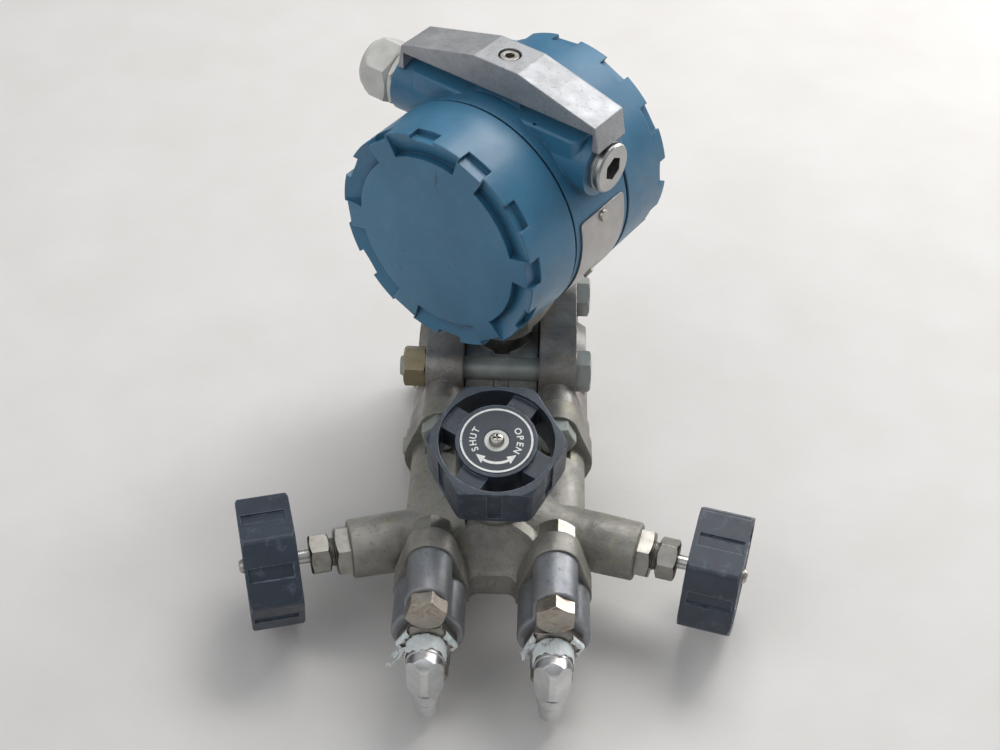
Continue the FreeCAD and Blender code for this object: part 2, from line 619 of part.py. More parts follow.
def stem_tip(which):
    low = tip_end(which)
    outline = [(0, 0.15), (1.6, 0.15), (3.6, 3.0), (3.6, 4.9), (0, 4.9)]
    return turned(outline, on_valve(which, low), valve_axis(which))


def wheel_place(shape, which):
    base = on_valve(which, VALVE_SEAT[which] + WHEEL_BACK)
    return placed(shape, base, valve_axis(which), WHEEL_PHASE[which])


def handwheel(which):
    t = WHEEL_T
    rim = hexagon(WHEEL_CORNER * math.sqrt(3.0), 0, t)
    upright = [e for e in rim.Edges if e.BoundBox.ZLength > t - 0.1]
    rim = rim.makeFillet(2.6, upright)
    flat = WHEEL_CORNER * math.sqrt(3.0) / 2.0
    rim = rim.cut(local_cyl(24.6, -1, t + 1))
    corner = WHEEL_CORNER + 0.5
    bevel = turned([(0, 0), (WHEEL_CORNER - 2.0, 0), (corner, 1.6), (corner, t - 1.6),
                    (WHEEL_CORNER - 2.0, t), (0, t)], V(0, 0, 0), V(0, 0, 1))
    rim = rim.common(bevel)
    slots = []
    for i in range(6):
        slot = box(flat - 1.1, flat + 2, -3.1, 3.1, 2.6, t - 1.4)
        slot.rotate(V(0, 0, 0), V(0, 0, 1), 30.0 + 60.0 * i)
        slots.append(slot)
    rim = cut(rim, slots)
    hub = local_cyl(17.4, 3.0, t - 0.4)
    arms = []
    for i in range(4):
        arm = box(15.0, 25.2, -6.0, 6.0, 8.0, t - 2.4)
        arm.rotate(V(0, 0, 0), V(0, 0, 1), 60.0 + 90.0 * i)
        arms.append(arm)
    body = join([rim, hub] + arms)
    key = local_cyl(3.25, -2.0, t - 4.0).cut(box(-5, 5, 2.65, 5, 6.0, t))
    tools = [key, local_cyl(1.75, t - 6.0, t + 1), local_cyl(15.9, t - 1.0, t + 1)]
    tools.append(local_cyl(5.4, t - 1.9, t + 1))
    body = cut(body, tools)
    return wheel_place(body, which)


def wheel_label(which):
    t = WHEEL_T
    disc = local_cyl(15.8, t - 1.0, t - 0.2).cut(local_cyl(5.45, t - 2, t + 1))
    return wheel_place(disc, which)


def wheel_washer(which):
    t = WHEEL_T
    disc = local_cyl(5.3, t - 1.9, t - 0.5).cut(local_cyl(1.75, t - 3, t + 1))
    return wheel_place(disc, which)


def wheel_screw(which):
    t = WHEEL_T
    outline = [(0, t - 14.0), (1.6, t - 14.0), (1.6, t - 0.5), (3.3, t - 0.5), (3.3, t + 0.5),
               (2.6, t + 1.7), (1.4, t + 2.1), (0, t + 2.1)]
    body = turned(outline, V(0, 0, 0), V(0, 0, 1))
    cross = [box(-1.9, 1.9, -0.35, 0.35, t + 0.8, t + 3), box(-0.35, 0.35, -1.9, 1.9, t + 0.8, t + 3)]
    return wheel_place(cut(body, cross), which)


# ---- electronics head ---------------------------------------------------
PLATE_SPAN = (76.0, 123.0)          # the nameplate's ends, degrees from the top
SCREW_SPAN = (80.0, 119.0)          # its two screws


def round_housing(phi):
    # direction from the housing axis, degrees from the top to the right
    t = math.radians(phi)
    return V(math.sin(t), 0, math.cos(t))


def electronics_housing():
    back = V(0, 1, 0)
    drum = cyl(V(0, -BODY_HALF, 0), back, BODY_R, 2 * BODY_HALF)
    spigot = cyl(V(0, -SPIGOT_END, 0), back, SPIGOT_R, 2 * SPIGOT_END)
    saddle_top = BODY_R - 2.2
    saddle = box(-45.5, 45.5, -13.2, 13.2, 25.0, saddle_top)
    upright = [e for e in saddle.Edges if e.BoundBox.ZLength > 1.0]
    saddle = saddle.makeFillet(4.0, upright)
    top_edges = [e for e in saddle.Edges if e.BoundBox.ZMin > saddle_top - 0.1]
    saddle = saddle.makeFillet(1.5, top_edges)
    boss = cyl(V(-GLAND_SEAT, 0, CONDUIT_Z), V(1, 0, 0), BOSS_R, GLAND_SEAT + CONDUIT_END)
    pad = box(-12.0, 12.0, -8.0, 8.0, saddle_top - 1.0, BAR_SEAT)
    neck = cyl(V(0, 0, -60.0), V(0, 0, 1), 24.0, 20.0)
    neck = neck.common(box(-30.0, 30.0, -BODY_HALF, BODY_HALF, -61.0, -39.0))
    solid = join([drum, spigot, saddle, boss, pad, neck])
    tools = []
    tools.append(cyl(V(0, -SPIGOT_END - 1, 0), back, CAVITY_R, SPIGOT_END + 1 - 12.0))
    tools.append(cyl(V(0, -2.0, 0), back, CAVITY_R, SPIGOT_END + 3.0))
    tools.append(cyl(V(16.0, 0, CONDUIT_Z), V(1, 0, 0), CONDUIT_R, 40.0))
    tools.append(cyl(V(-16.0, 0, CONDUIT_Z), V(-1, 0, 0), CONDUIT_R, 45.0))
    tools.append(cyl(V(0, 0, -61.0), V(0, 0, 1), NECK_R + 0.08, 22.5))
    tools.append(cyl(V(0, 0, BAR_SEAT - 11.7), V(0, 0, 1), 2.5, 13.0))
    for x in (-28.0, 28.0):
        tools.append(cyl(V(x, 0, saddle_top - 3.5), V(0, 0, 1), 3.1, 6.0))
    tools.append(cyl(V(22.5, -11.6, saddle_top - 4.0), V(0, 0, 1), 0.9, 6.0))
    for phi in SCREW_SPAN:
        d = round_housing(phi)
        tools.append(cyl(d * (BODY_R - 6.0), d, 1.5, 8.0))
    return in_head(cut(solid, tools))


def cover(side, phase):
    # side -1 is the front cover, +1 the rear one
    mouth = BODY_HALF + SEAM
    bore = SPIGOT_R + 0.08
    recess = SPIGOT_R + 3.6
    hollow = COVER_END - 6.5
    outline = [(COVER_R - 0.3, mouth), (COVER_R, mouth + 0.4), (COVER_R - 0.5, COVER_END - 0.7),
               (COVER_R - 1.2, COVER_END), (0, COVER_END), (0, hollow), (bore - 3.0, hollow),
               (bore - 3.0, 33.0), (bore, 33.0), (bore, 23.0), (recess, 23.0), (recess, mouth)]
    points = [V(r, 0, h) for r, h in outline]
    wire = Part.makePolygon(points + [points[0]])
    body = Part.Face(wire).revolve(V(0, 0, 0), V(0, 0, 1), 360)
    tools = []
    for i in range(12):
        notch = box(-6.4, 6.4, COVER_R - 3.2, COVER_R + 3.0, COVER_END - 6.6, COVER_END + 1)
        notch.rotate(V(0, 0, 0), V(0, 0, 1), 30.0 * i)
        tools.append(notch)
    # pockets for a cover wrench: deep at their inner edge, running out at the rim
    inner = COVER_R - 11.0
    rim = COVER_R - 0.6
    for i in range(6):
        flank = [V(inner, 0, COVER_END - 4.2), V(inner, 0, COVER_END + 1.0), V(rim, 0, COVER_END + 1.0),
                 V(rim, 0, COVER_END - 0.3)]
        wire = Part.makePolygon(flank + [flank[0]])
        pocket = Part.Face(wire).revolve(V(0, 0, 0), V(0, 0, 1), 44.0)
        pocket.rotate(V(0, 0, 0), V(0, 0, 1), 90.0 - 22.0 + 60.0 * i)
        tools.append(pocket)
    body = cut(body, tools)
    # local +Z (outwards) to the head's -Y or +Y, local +Y to the head's +Z
    body.rotate(V(0, 0, 0), V(0, 0, 1), phase)
    m = FreeCAD.Matrix(side * -1.0, 0, 0, 0,
                       0, 0, side * 1.0, 0,
                       0, 1, 0, 0,
                       0, 0, 0, 1)
    body.transformShape(m)
    return in_head(body)


def cover_seal(side):
    # gasket with a lip that shows in the seam and a thick inner bead
    low = BODY_HALF + 0.1
    high = BODY_HALF + SEAM - 0.1
    bead = SPIGOT_R + 0.2
    outline = [(bead, low), (BODY_R - 1.0, low), (BODY_R - 0.6, low + 0.4), (BODY_R - 0.6, high - 0.4),
               (BODY_R - 1.0, high), (bead + 3.1, high), (bead + 3.1, 22.2), (bead + 2.5, 22.8),
               (bead + 0.5, 22.8), (bead, 22.2)]
    return in_head(turned(outline, V(0, 0, 0), V(0, side, 0)))


def cover_bar():
    seat = BAR_SEAT
    outline = [(-54.0, seat - 8.2), (-51.7, seat + 3.6), (-11.7, seat + 14.0), (11.7, seat + 14.0),
               (51.7, seat + 3.6), (54.0, seat - 8.2), (50.8, seat - 8.2), (50.8, seat),
               (-50.8, seat), (-50.8, seat - 8.2)]
    points = [V(x, -10.1, z) for x, z in outline]
    body = prism(points, V(0, 20.2, 0))
    tools = []
    for s in (-1, 1):
        pocket = [(14.5, seat - 0.7), (47.5, seat - 0.7), (47.5, seat + 1.7), (14.5, seat + 10.3)]
        points = [V(s * x, -7.4, z) for x, z in pocket]
        tools.append(prism(points, V(0, 14.8, 0)))
    tools.append(cyl(V(-GLAND_SEAT, 0, CONDUIT_Z), V(1, 0, 0), BOSS_R + 0.3, 6.0))
    tools.append(cyl(V(0, 0, seat + 8.7), V(0, 0, 1), 5.1, 10.0))
    tools.append(cyl(V(0, 0, seat - 5.0), V(0, 0, 1), 2.7, 20.0))
    return in_head(cut(body, tools))


def bar_screw():
    low = BAR_SEAT - 10.7
    under = BAR_SEAT + 8.7
    outline = [(0, low), (2.45, low), (2.45, under), (4.3, under), (4.3, under + 4.5), (3.9, under + 4.9),
               (0, under + 4.9)]
    body = turned(outline, V(0, 0, 0), V(0, 0, 1))
    socket = hexagon(4.0, under + 1.9, under + 6.0)
    return in_head(body.cut(socket))


def adjust_screws():
    parts = []
    top = BODY_R - 2.4
    for x in (-28.0, 28.0):
        body = local_cyl(3.0, top - 3.3, top).cut(box(-4, 4, -0.5, 0.5, top - 1.2, top + 1.0))
        body.translate(V(x, 0, 0))
        parts.append(in_head(body))
    return Part.makeCompound(parts)


def head_side(shape, side):
    # local +Z to the head's sideways direction at the conduit axis
    return in_head(placed(shape, V(0, 0, CONDUIT_Z), V(side, 0, 0)))


def gland_body():
    flange = hexagon(25.4, GLAND_SEAT, GLAND_SEAT + 3.8, 1.0, 1.0)
    thread = local_cyl(CONDUIT_R - 0.04, 37.0, GLAND_SEAT + 0.5)
    sleeve = local_cyl(9.4, GLAND_SEAT + 3.0, GLAND_SEAT + 14.0)
    body = join([flange, thread, sleeve]).cut(local_cyl(7.0, 36.0, GLAND_SEAT + 15.0))
    return head_side(body, -1)


def gland_nut():
    # hexagonal body with a turned dome at its outer end
    low = GLAND_SEAT + 4.2
    grip = hexagon(26.4, low, low + 13.0, 1.0, 0.0)
    outline = [(0, low), (15.3, low), (15.3, low + 9.5), (13.9, low + 13.0), (12.0, low + 16.2),
               (9.5, low + 18.0), (0, low + 18.0)]
    dome = turned(outline, V(0, 0, 0), V(0, 0, 1))
    cap = turned([(0, low + 12.0), (12.8, low + 12.0), (12.8, low + 14.6), (11.6, low + 16.6),
                  (9.4, low + 18.0), (0, low + 18.0)], V(0, 0, 0), V(0, 0, 1))
    body = join([grip.common(dome), cap])
    inside = turned([(0, low - 1), (9.46, low - 1), (9.46, low + 11.0), (5.2, low + 13.0),
                     (5.2, low + 19.0), (0, low + 19.0)], V(0, 0, 0), V(0, 0, 1))
    return head_side(body.cut(inside), -1)


def gland_seal():
    # a rubber insert whose nose fills the mouth of the nut
    sleeve = local_cyl(6.95, GLAND_SEAT + 3.0, GLAND_SEAT + 14.6)
    nose = local_cyl(5.14, GLAND_SEAT + 14.0, GLAND_MOUTH)
    cable_hole = local_cyl(4.5, GLAND_SEAT, GLAND_MOUTH + 1.0)
    return head_side(join([sleeve, nose]).cut(cable_hole), -1)


def conduit_plug():
    end = CONDUIT_END
    outline = [(0, 36.0), (CONDUIT_R - 0.04, 36.0), (CONDUIT_R - 0.04, end), (11.1, end), (11.1, end + 1.7),
               (10.6, end + 2.0), (10.6, end + 2.4), (11.1, end + 2.7), (11.1, end + 4.4),
               (10.4, end + 5.3), (0, end + 5.3)]
    body = turned(outline, V(0, 0, 0), V(0, 0, 1))
    socket = hexagon(9.8, 47.0, end + 7.0)
    return head_side(body.cut(socket), 1)


def arc_plate(r0, r1, phi0, phi1, y0, y1):
    # a plate bent round the housing axis, angles from the top to the right
    corners = [V(0, y0, r0), V(0, y0, r1), V(0, y1, r1), V(0, y1, r0)]
    face = Part.Face(Part.makePolygon(corners + [corners[0]]))
    plate = face.revolve(V(0, 0, 0), V(0, 1, 0), phi1 - phi0)
    plate.rotate(V(0, 0, 0), V(0, 1, 0), phi0)
    return plate


def nameplate():
    plate = arc_plate(BODY_R, BODY_R + 0.8, PLATE_SPAN[0], PLATE_SPAN[1], -16.0, 16.0)
    corners = [e for e in plate.Edges if e.Length < 1.0]
    plate = plate.makeFillet(2.0, corners)
    tools = []
    for phi in SCREW_SPAN:
        d = round_housing(phi)
        tools.append(cyl(d * (BODY_R - 6.0), d, 1.6, 10.0))
    return in_head(cut(plate, tools))


def nameplate_screws():
    parts = []
    seat = BODY_R + 0.8
    for phi in SCREW_SPAN:
        outline = [(0, seat - 5.8), (1.45, seat - 5.8), (1.45, seat), (2.8, seat)]
        outline += [(2.4, seat + 1.2), (0, seat + 1.4)]
        parts.append(in_head(turned(outline, V(0, 0, 0), round_housing(phi))))
    return Part.makeCompound(parts)


def terminal_block():
    body = cyl(V(0, -2.0, -3.0), V(0, 1, 0), 26.0, 8.0)
    ribs = [body]
    for x in (-16.0, -5.5, 5.5, 16.0):
        ribs.append(box(x - 0.8, x + 0.8, 5.5, 9.5, -14.0, 8.0))
    body = join(ribs)
    tools = [cyl(V(x, 2.0, -3.0), V(0, 1, 0), 1.6, 8.0) for x in (-10.8, 0.0, 10.8)]
    return in_head(cut(body, tools))


def terminal_screws():
    parts = []
    for x in (-10.8, 0.0, 10.8):
        outline = [(0, 2.2), (1.55, 2.2), (1.55, 6.0), (3.6, 6.0), (3.6, 8.0), (0, 8.0)]
        body = turned(outline, V(x, 0, -3.0), V(0, 1, 0))
        slot = box(x - 4, x + 4, 7.2, 9.0, -3.5, -2.5)
        parts.append(in_head(body.cut(slot)))
    return Part.makeCompound(parts)


def circuit_board():
    board = cyl(V(0, -18.0, 0), V(0, 1, 0), 37.0, 1.8)
    items = [board]
    items.append(box(-22.0, -6.0, -25.0, -17.5, 4.0, 22.0))
    items.append(box(4.0, 24.0, -22.0, -17.5, 8.0, 16.0))
    items.append(cyl(V(10.0, -27.0, -12.0), V(0, 1, 0), 6.0, 9.5))
    items.append(box(-20.0, -4.0, -21.5, -17.5, -20.0, -8.0))
    return in_head(join(items))


def board_posts():
    parts = []
    for phi in (90.0, 210.0, 330.0):
        t = math.radians(phi)
        base = V(31.0 * math.cos(t), -16.2, 31.0 * math.sin(t))
        parts.append(in_head(cyl(base, V(0, 1, 0), 2.6, 4.2)))
    return Part.makeCompound(parts)


def lock_nut():
    body = hexagon(42.0, AXIS_Z + 44.6, AXIS_Z + 54.5, 1.0, 1.0)
    return body.cut(local_cyl(NECK_R + 0.05, AXIS_Z + 40.0, AXIS_Z + 59.0))


# ---- output -------------------------------------------------------------
def save(name, shape):
    shape.exportStep("parts/" + name + ".step")


def main():
    os.makedirs("parts", exist_ok=True)
    save("process_flange_left", process_flange(-1))
    save("process_flange_right", process_flange(1))
    save("measuring_cell", measuring_cell())
    save("isolator_discs", isolators())
    save("flange_seals", flange_seals())
    save("flange_bolts", flange_bolts())
    save("flange_nuts", flange_nuts())
    save("vent_seats", vent_seats())
    save("vent_screw_left", vent_screw(-1))
    save("vent_screw_right", vent_screw(1))
    save("manifold_body", manifold_body())
    save("manifold_seals", port_seals(FLANGE_PORT_Y - 1.8))
    save("manifold_bolts", manifold_bolts())
    save("flange_adapter_left", adapter(-1))
    save("flange_adapter_right", adapter(1))
    save("adapter_seals", port_seals(FRONT_FACE_Y))
    save("adapter_bolts", adapter_bolts())
    save("adapter_nuts", adapter_nuts())
    save("reducer_bushings", bushings())
    save("outlet_elbows", elbows())
    save("valve_bonnets", bonnets())
    save("packing_nuts", packing_nuts())
    save("stem_packings", packings())
    for which in VALVES:
        save("stem_" + which, stem(which))
        save("stem_tip_" + which, stem_tip(which))
        save("handwheel_" + which, handwheel(which))
        save("wheel_label_" + which, wheel_label(which))
        save("wheel_washer_" + which, wheel_washer(which))
        save("wheel_screw_" + which, wheel_screw(which))
    save("electronics_housing", electronics_housing())
    save("front_cover", cover(-1, 8.0))
    save("rear_cover", cover(1, 25.3))
    save("front_cover_seal", cover_seal(-1))
    save("rear_cover_seal", cover_seal(1))
    save("cover_bar", cover_bar())
    save("bar_screw", bar_screw())
    save("adjust_screws", adjust_screws())
    save("gland_body", gland_body())
    save("gland_nut", gland_nut())
    save("gland_seal", gland_seal())
    save("conduit_plug", conduit_plug())
    save("nameplate", nameplate())
    save("nameplate_screws", nameplate_screws())
    save("terminal_block", terminal_block())
    save("terminal_screws", terminal_screws())
    save("circuit_board", circuit_board())
    save("board_posts", board_posts())
    save("neck_lock_nut", lock_nut())


main()
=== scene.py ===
import json
import math

import bpy
from mathutils import Matrix, Vector


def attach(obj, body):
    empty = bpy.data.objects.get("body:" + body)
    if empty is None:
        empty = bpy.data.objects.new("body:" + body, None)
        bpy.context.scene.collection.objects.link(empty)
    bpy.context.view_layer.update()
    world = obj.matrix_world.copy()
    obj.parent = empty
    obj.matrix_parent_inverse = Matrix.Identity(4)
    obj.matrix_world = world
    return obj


# Looks of a differential pressure transmitter with a three-valve manifold.
# Metres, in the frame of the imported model.

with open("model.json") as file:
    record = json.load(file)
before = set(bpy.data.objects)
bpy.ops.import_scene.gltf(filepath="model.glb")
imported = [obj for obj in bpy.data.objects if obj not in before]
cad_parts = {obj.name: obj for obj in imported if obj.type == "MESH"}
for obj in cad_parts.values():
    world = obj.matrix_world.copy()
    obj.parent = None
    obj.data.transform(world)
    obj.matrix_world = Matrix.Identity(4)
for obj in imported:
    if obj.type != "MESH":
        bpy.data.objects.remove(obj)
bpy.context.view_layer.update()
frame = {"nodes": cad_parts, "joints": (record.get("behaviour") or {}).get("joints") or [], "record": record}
NODES = frame["nodes"]
JOINTS = {j["name"]: j for j in frame["joints"]}
MM = 0.001
VALVES = ("left", "right", "top")
PORT_X = 27.0            # ports and elbows stand this far from the middle, millimetres
PORT_Z = 40.0            # height of the ports
COLLAR_R = 8.3           # collar of an elbow
TAPE_BACK = -172.4       # the tape starts at the face of the bushing
TAPE_LENGTH = 8.0        # and covers this much of the collar
BUSH_CORNER = 12.82      # bushing centre to corner
BUSH_TURN = (0.0, 10.0)  # a corner of the left and right bushing stands this far from level, degrees
TAPE_STAND = 0.42        # middle of the wrap above the collar
TAPE_THICK = 0.12 * MM   # thickness of the film
FLOOR_SIZE = 6.0         # metres, as all that follows here
FLOOR_DROP = 0.0002      # the floor lies just under the feet
AIM = (0, -0.05, 0.1)    # the lamps point here
CAMERA_PLACE = (0.00776, -0.58823, 0.59030)
CAMERA_LENS = 57.6       # millimetres, on a sensor 36 mm wide
CAMERA_TURN = (43.22, -0.9, 1.31)  # pitch down, yaw and roll, degrees
CAMERA_SHIFT = 0.001
EDGE_SAMPLES = 6         # rays of the edge and hollow masks


# ---- material helpers -----------------------------------------------------
class Shader:
    # builds one node material: colour, wear and bump in layers
    def __init__(self, name):
        self.mat = bpy.data.materials.new(name)
        self.mat.use_nodes = True
        self.tree = self.mat.node_tree
        self.nodes = self.tree.nodes
        self.links = self.tree.links
        self.bsdf = self.nodes["Principled BSDF"]
        self.coords = self.nodes.new("ShaderNodeTexCoord").outputs["Object"]
        self.height = None

    def link(self, a, b):
        self.links.new(a, b)

    def noise(self, size, detail=4.0, rough=0.55, stretch=None, distort=0.0):
        tex = self.nodes.new("ShaderNodeTexNoise")
        tex.inputs["Scale"].default_value = 1.0 / size
        tex.inputs["Detail"].default_value = detail
        tex.inputs["Roughness"].default_value = rough
        tex.inputs["Distortion"].default_value = distort
        source = self.coords
        if stretch:
            mapping = self.nodes.new("ShaderNodeMapping")
            mapping.inputs["Scale"].default_value = stretch
            self.link(source, mapping.inputs["Vector"])
            source = mapping.outputs["Vector"]
        self.link(source, tex.inputs["Vector"])
        return tex.outputs["Fac"]

    def ramp(self, value, low, high, a=0.0, b=1.0):
        node = self.nodes.new("ShaderNodeMapRange")
        node.inputs["From Min"].default_value = low
        node.inputs["From Max"].default_value = high
        node.inputs["To Min"].default_value = a
        node.inputs["To Max"].default_value = b
        self.link(value, node.inputs["Value"])
        return node.outputs["Result"]

    def maths(self, kind, a, b):
        node = self.nodes.new("ShaderNodeMath")
        node.operation = kind
        node.use_clamp = kind in ("MULTIPLY", "MAXIMUM")
        for socket, value in zip(node.inputs, (a, b)):
            if isinstance(value, (int, float)):
                socket.default_value = value
            else:
                self.link(value, socket)
        return node.outputs["Value"]

    def mix(self, a, b, factor):
        # a and b are colours or sockets, factor a socket or number
        node = self.nodes.new("ShaderNodeMix")
        node.data_type = "RGBA"
        for name, value in (("A", a), ("B", b)):
            socket = [s for s in node.inputs if s.name == name and s.type == "RGBA"][0]
            if isinstance(value, tuple):
                socket.default_value = (*value, 1.0)
            else:
                self.link(value, socket)
        if isinstance(factor, (int, float)):
            node.inputs["Factor"].default_value = factor
        else:
            self.link(factor, node.inputs["Factor"])
        return [s for s in node.outputs if s.type == "RGBA"][0]

    def worn(self, radius, low, high, patch):
        # 1 on worn stretches of the outer edges
        # patch is the size, detail, roughness and range of the noise that picks them
        size, detail, rough, start, end = patch
        spots = self.ramp(self.noise(size * MM, detail, rough), start, end)
        return self.maths("MULTIPLY", self.edges(radius * MM, low, high), spots)

    def edges(self, radius, low, high):
        # 1 along sharp outer edges: where a rounded normal leaves the true one
        bevel = self.nodes.new("ShaderNodeBevel")
        bevel.samples = EDGE_SAMPLES
        bevel.inputs["Radius"].default_value = radius
        geometry = self.nodes.new("ShaderNodeNewGeometry")
        dot = self.nodes.new("ShaderNodeVectorMath")
        dot.operation = "DOT_PRODUCT"
        self.link(bevel.outputs["Normal"], dot.inputs[0])
        self.link(geometry.outputs["Normal"], dot.inputs[1])
        away = self.maths("SUBTRACT", 1.0, dot.outputs["Value"])
        return self.ramp(away, low, high)

    def hollows(self, distance):
        # ambient occlusion, 1 in open places, towards 0 in corners and recesses: the materials darken it
        # into painted shade
        node = self.nodes.new("ShaderNodeAmbientOcclusion")
        node.samples = EDGE_SAMPLES
        node.inputs["Distance"].default_value = distance
        return node.outputs["AO"]

    def bump(self, value, depth):
        node = self.nodes.new("ShaderNodeBump")
        node.inputs["Strength"].default_value = 1.0
        node.inputs["Distance"].default_value = depth
        self.link(value, node.inputs["Height"])
        if self.height is not None:
            self.link(self.height, node.inputs["Normal"])
        self.height = node.outputs["Normal"]

    def round_edges(self, radius):
        # soft highlight along edges; call before any bump
        bevel = self.nodes.new("ShaderNodeBevel")
        bevel.samples = EDGE_SAMPLES
        bevel.inputs["Radius"].default_value = radius
        self.height = bevel.outputs["Normal"]

    def finish(self, colour, rough, metal):
        for name, value in (("Base Color", colour), ("Roughness", rough), ("Metallic", metal)):
            if isinstance(value, tuple):
                self.bsdf.inputs[name].default_value = (*value, 1.0)
            elif isinstance(value, (int, float)):
                self.bsdf.inputs[name].default_value = value
            else:
                self.link(value, self.bsdf.inputs[name])
        if self.height is not None:
            self.link(self.height, self.bsdf.inputs["Normal"])
        return self.mat


def paint():
    s = Shader("housing_paint")
    s.round_edges(0.8 * MM)
    broad = s.ramp(s.noise(40 * MM), 0.35, 0.65)
    colour = s.mix((0.032, 0.140, 0.250), (0.042, 0.176, 0.305), broad)
    dust = s.maths("MULTIPLY", s.ramp(s.noise(11 * MM, 9.0, 0.72), 0.54, 0.76), 0.22)
    colour = s.mix(colour, (0.16, 0.24, 0.30), dust)
    # painted shade: the paint is darkened towards a deep blue in corners and recesses
    painted_shade = s.ramp(s.hollows(6 * MM), 0.25, 0.8, 1.0, 0.0)
    colour = s.mix(colour, (0.014, 0.050, 0.092), s.maths("MULTIPLY", painted_shade, 0.6))
    rub = s.worn(1.0, 0.05, 0.4, (5.0, 6.0, 0.7, 0.42, 0.62))
    colour = s.mix(colour, (0.22, 0.40, 0.52), s.maths("MULTIPLY", rub, 0.7))
    chips = s.worn(0.6, 0.08, 0.4, (3.0, 5.0, 0.75, 0.64, 0.68))
    colour = s.mix(colour, (0.50, 0.51, 0.51), chips)
    streaks = s.noise(2.4 * MM, 2.0, 0.5, stretch=(1.0, 0.12, 0.35), distort=1.4)
    scratch = s.ramp(streaks, 0.705, 0.73)
    colour = s.mix(colour, (0.020, 0.055, 0.085), s.maths("MULTIPLY", scratch, 0.55))
    s.bump(s.noise(2.2 * MM, 3.0), 0.04 * MM)
    s.bump(s.noise(0.6 * MM, 2.0), 0.012 * MM)
    rough = s.ramp(s.noise(12 * MM, 5.0), 0.3, 0.7, 0.36, 0.50)
    s.bsdf.inputs["Coat Weight"].default_value = 0.2
    s.bsdf.inputs["Coat Roughness"].default_value = 0.22
    return s.finish(colour, rough, 0.0)


def casting(name, light, dark, tint, metal, rough, grain, depth):
    # sand-cast metal: grainy, stained in patches, with painted shade in its corners
    s = Shader(name)
    s.round_edges(0.9 * MM)
    patches = s.ramp(s.noise(22 * MM, 5.0, 0.6), 0.36, 0.64)
    colour = s.mix(dark, light, patches)
    stain = s.ramp(s.noise(9 * MM, 7.0, 0.65, distort=0.6), 0.50, 0.68)
    colour = s.mix(colour, tint, s.maths("MULTIPLY", stain, 0.7))
    specks = s.ramp(s.noise(1.6 * MM, 3.0, 0.7), 0.57, 0.70)
    colour = s.mix(colour, tuple(c * 0.45 for c in dark), s.maths("MULTIPLY", specks, 0.5))
    # painted shade: the metal is darkened in corners and recesses
    painted_shade = s.ramp(s.hollows(7 * MM), 0.25, 0.8, 1.0, 0.0)
    colour = s.mix(colour, tuple(c * 0.4 for c in dark), s.maths("MULTIPLY", painted_shade, 0.6))
    wear = s.worn(0.8, 0.03, 0.25, (4.0, 5.0, 0.55, 0.42, 0.6))
    worn = tuple(0.72 * (a + b) for a, b in zip(light, tint))
    colour = s.mix(colour, worn, s.maths("MULTIPLY", wear, 0.6))
    s.bump(s.noise(grain * 8.0, 3.0, 0.5), depth * 4.0)
    s.bump(s.noise(grain * 3.0, 4.0, 0.6), depth * 2.0)
    s.bump(s.noise(grain, 3.0, 0.65), depth)
    r = s.ramp(s.noise(7 * MM, 5.0), 0.3, 0.7, rough - 0.07, rough + 0.1)
    return s.finish(colour, r, metal)


def machined(name, colour, rough, stain=None, amount=0.3, dents=0.02, metal=1.0):
    # turned or milled metal: fine tool lines, light stains, bright edges, painted shade in corners
    s = Shader(name)
    s.round_edges(0.45 * MM)
    patches = s.ramp(s.noise(8 * MM, 5.0, 0.6), 0.35, 0.65)
    c = s.mix(tuple(v * 0.82 for v in colour), colour, patches)
    if stain:
        mask = s.ramp(s.noise(5 * MM, 7.0, 0.7, distort=0.8), 0.5, 0.66)
        c = s.mix(c, stain, s.maths("MULTIPLY", mask, amount))
    # painted shade: the metal is darkened in corners and recesses
    painted_shade = s.ramp(s.hollows(4 * MM), 0.25, 0.8, 1.0, 0.0)
    c = s.mix(c, tuple(v * 0.35 for v in colour), s.maths("MULTIPLY", painted_shade, 0.55))
    wear = s.worn(0.5, 0.03, 0.25, (3.0, 4.0, 0.55, 0.4, 0.6))
    c = s.mix(c, tuple(min(1.0, v * 1.4) for v in colour), s.maths("MULTIPLY", wear, 0.6))
    s.bump(s.noise(0.5 * MM, 3.0, 0.6, stretch=(1.0, 1.0, 6.0)), 0.012 * MM)
    s.bump(s.noise(4.0 * MM, 3.0), dents * MM)
    r = s.ramp(s.noise(4 * MM, 5.0), 0.3, 0.7, rough - 0.06, rough + 0.1)
    return s.finish(c, r, metal)


def plastic(name, colour, rough, worn, amount):
    # moulded plastic: fine grain, rubbed pale on its edges and scuffed
    s = Shader(name)
    s.round_edges(0.6 * MM)
    patches = s.ramp(s.noise(14 * MM, 5.0), 0.35, 0.65)
    c = s.mix(tuple(v * 0.75 for v in colour), colour, patches)
    rub = s.worn(0.9, 0.02, 0.22, (2.5, 6.0, 0.7, 0.36, 0.62))
    scuff = s.maths("MULTIPLY", s.ramp(s.noise(6 * MM, 8.0, 0.75), 0.55, 0.72), 0.3)
    c = s.mix(c, worn, s.maths("MULTIPLY", s.maths("MAXIMUM", rub, scuff), amount))
    s.bump(s.noise(0.5 * MM, 3.0, 0.6), 0.02 * MM)
    s.bump(s.noise(6 * MM, 3.0), 0.06 * MM)
    r = s.ramp(s.noise(5 * MM, 5.0), 0.3, 0.7, rough - 0.08, rough + 0.1)
    return s.finish(c, r, 0.0)


def print_ink():
    s = Shader("print_ink")
    fade = s.ramp(s.noise(1.6 * MM, 5.0, 0.7), 0.50, 0.75)
    c = s.mix((0.78, 0.79, 0.77), (0.45, 0.47, 0.47), fade)
    s.bump(s.noise(0.5 * MM, 2.0), 0.01 * MM)
    return s.finish(c, 0.5, 0.0)


